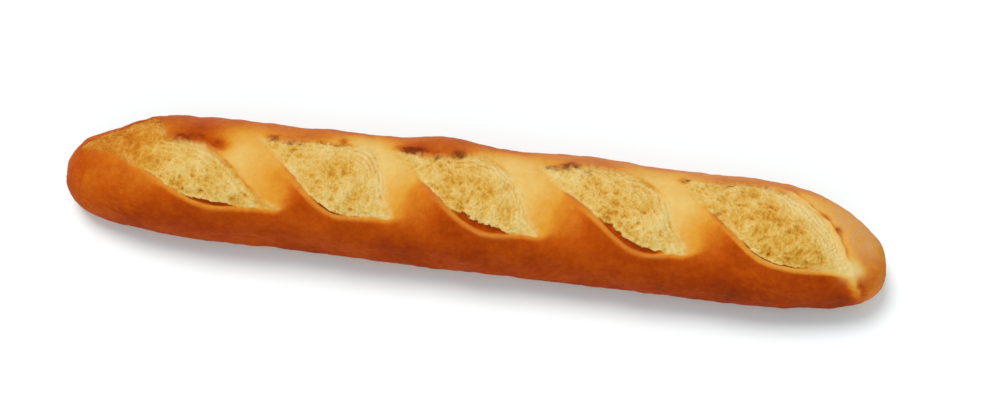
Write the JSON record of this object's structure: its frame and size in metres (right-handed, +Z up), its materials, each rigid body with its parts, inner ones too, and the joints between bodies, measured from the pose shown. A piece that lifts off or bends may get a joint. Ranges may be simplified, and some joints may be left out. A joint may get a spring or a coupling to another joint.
{
  "type": "baguette",
  "caption": "Baked crusty baguette with slanted openings along the top, each with a raised rim and risen crumb, lying on its flat underside.",
  "frame": {"origin": "centre of the flat underside, on the surface the loaf lies on", "axes": "+X along the loaf towards its slimmer nose, +Z up, -Y towards the side where the openings end lowest"},
  "size_m": [0.5, 0.0798, 0.0642],
  "materials": {
    "baked_crust": "dry baked crust, golden to deep brown, with paler torn crumb in the openings"
  },
  "bodies": {
    "root": {"baguette": "baked_crust"}
  },
  "joints": []
}
